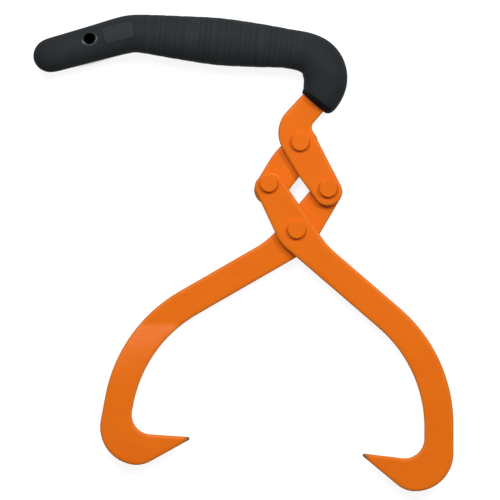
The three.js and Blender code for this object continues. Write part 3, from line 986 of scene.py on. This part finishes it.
class TONGS_OT_stage(bpy.types.Operator):
    """Sets up the pale floor, the two soft lamps, the sky and the camera straight above"""

    bl_idname = "tongs.stage"
    bl_label = "Stage"

    def execute(self, context):
        studio = context.scene.tongs_studio
        centre = Vector((studio.picture_x, studio.picture_y, 0))
        low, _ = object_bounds()
        bpy.ops.object.select_all(action="DESELECT")
        bpy.ops.mesh.primitive_circle_add(
            vertices=FLOOR_SIDES,
            radius=FLOOR_RADIUS,
            fill_type="NGON",
            location=(centre.x, centre.y, low.z - FLOOR_GAP),
        )
        floor = context.object
        floor.name = "floor"
        place_in_mesh(floor)
        floor.data.materials.append(floor_material(studio))
        floor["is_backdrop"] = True
        area_lamp("key_lamp", centre + KEY_PLACE, centre, KEY_WIDTH, studio.key_power)
        area_lamp("edge_lamp", centre + EDGE_PLACE, centre, EDGE_WIDTH, studio.edge_power)
        sky_of(context.scene, studio)
        camera = bpy.data.objects.new("camera", bpy.data.cameras.new("camera"))
        context.collection.objects.link(camera)
        camera.location = centre + Vector((0, 0, studio.camera_height))
        enlarged = studio.camera_height / studio.picture_width
        camera.data.lens = camera.data.sensor_width * enlarged
        camera.data.clip_end = 2 * studio.camera_height
        context.scene.camera = camera
        context.scene.view_settings.view_transform = "Standard"
        return {"FINISHED"}


def seen_directly(nodes):
    """1 for a ray from the camera, from gloss or through glass, and 0 for light that spreads."""
    rays = nodes.add("ShaderNodeLightPath").socket.node.outputs
    camera, glossy, clear = (
        Value(nodes, rays[name])
        for name in ("Is Camera Ray", "Is Glossy Ray", "Is Transmission Ray")
    )
    return camera.maths("MAXIMUM", camera, glossy.maths("MAXIMUM", glossy, clear))


def floor_material(studio):
    """Pale matt floor, white to the camera and to gloss, that keeps the tongs' soft shadow.

    It turns black, as a painted shadow, where the tongs nearly cover it, and in an oval under the
    tail, which the hanging hole shows.
    """
    material = bpy.data.materials.new("pale_floor")
    nodes = Nodes(material)
    sizes = bpy.context.scene.tongs_grip
    tail, heading, width = GripLine(sizes).at(sizes.hole_from_tail)
    half = Vector((sizes.hole_from_tail * 0.9, width / 2))
    out, _ = oblong(nodes, nodes.object_place(), tail, heading, half, OVAL)
    settings = {"samples": COVER_SAMPLES}
    open_sky = nodes.add("ShaderNodeAmbientOcclusion", settings, {"Distance": COVER_REACH}, 1)
    clear_of_painted_shadow = nodes.spread(open_sky, 0.05, 0.2) * nodes.spread(out, 0.5, 1.25)
    matt = nodes.add("ShaderNodeBsdfDiffuse", {}, {"Color": opaque(studio.floor)})
    glow = nodes.add("ShaderNodeEmission", {}, {"Strength": studio.floor_glow})
    white = nodes.add("ShaderNodeAddShader", {}, {0: matt, 1: glow})
    pale = nodes.add("ShaderNodeMixShader", {}, {0: seen_directly(nodes), 1: matt, 2: white})
    # A black sheet painted in as shadow where the tongs nearly cover the floor, and in an oval
    # under the tail
    painted_shade = nodes.add("ShaderNodeBsdfDiffuse", {}, {"Color": (0, 0, 0, 1)})
    nodes.surface(nodes.add("ShaderNodeMixShader", {}, {0: clear_of_painted_shadow, 1: painted_shade, 2: pale}))
    return material


def sky_of(scene, studio):
    """Soft light, strongest from overhead and a little behind, seen as plain white."""
    world = bpy.data.worlds.new("studio_sky")
    scene.world = world
    nodes = Nodes(world)
    seen = seen_directly(nodes)
    heading = nodes.add("ShaderNodeTexCoord")
    near = nodes.spread(nodes.number_of("DOT_PRODUCT", heading, BRIGHTEST_SKY), 0.0, 1.0)
    soft = near * near * (2 * studio.sky_strength)
    sockets = {"Color": (1, 1, 1, 1), "Strength": seen + (1 - seen) * soft}
    sky = nodes.add("ShaderNodeBackground", {}, sockets)
    nodes.add("ShaderNodeOutputWorld", {}, {"Surface": sky})


class TONGS_PT_panel(bpy.types.Panel):
    """Steps and settings of the log lifting tongs"""

    bl_label = "Log lifting tongs"
    bl_idname = "TONGS_PT_panel"
    bl_space_type = "VIEW_3D"
    bl_region_type = "UI"
    bl_category = "Tongs"

    def draw(self, context):
        for step in STEPS:
            self.layout.operator(step.bl_idname)
        for name, group in SETTINGS.items():
            box = self.layout.box()
            box.label(text=group.__doc__)
            for setting in group.__annotations__:
                box.prop(getattr(context.scene, name), setting)


STEPS = (TONGS_OT_stage, TONGS_OT_plates, TONGS_OT_rivets, TONGS_OT_grip)
CLASSES = (*SETTINGS.values(), *STEPS, TONGS_PT_panel)


def register():
    for each in CLASSES:
        bpy.utils.register_class(each)
    for name, group in SETTINGS.items():
        setattr(bpy.types.Scene, name, bpy.props.PointerProperty(type=group))


def unregister():
    for name in SETTINGS:
        delattr(bpy.types.Scene, name)
    for each in reversed(CLASSES):
        bpy.utils.unregister_class(each)


def main():
    register()
    bpy.ops.tongs.stage()
    bpy.ops.tongs.plates()
    bpy.ops.tongs.rivets()
    bpy.ops.tongs.grip()


if __name__ == "__main__":
    main()
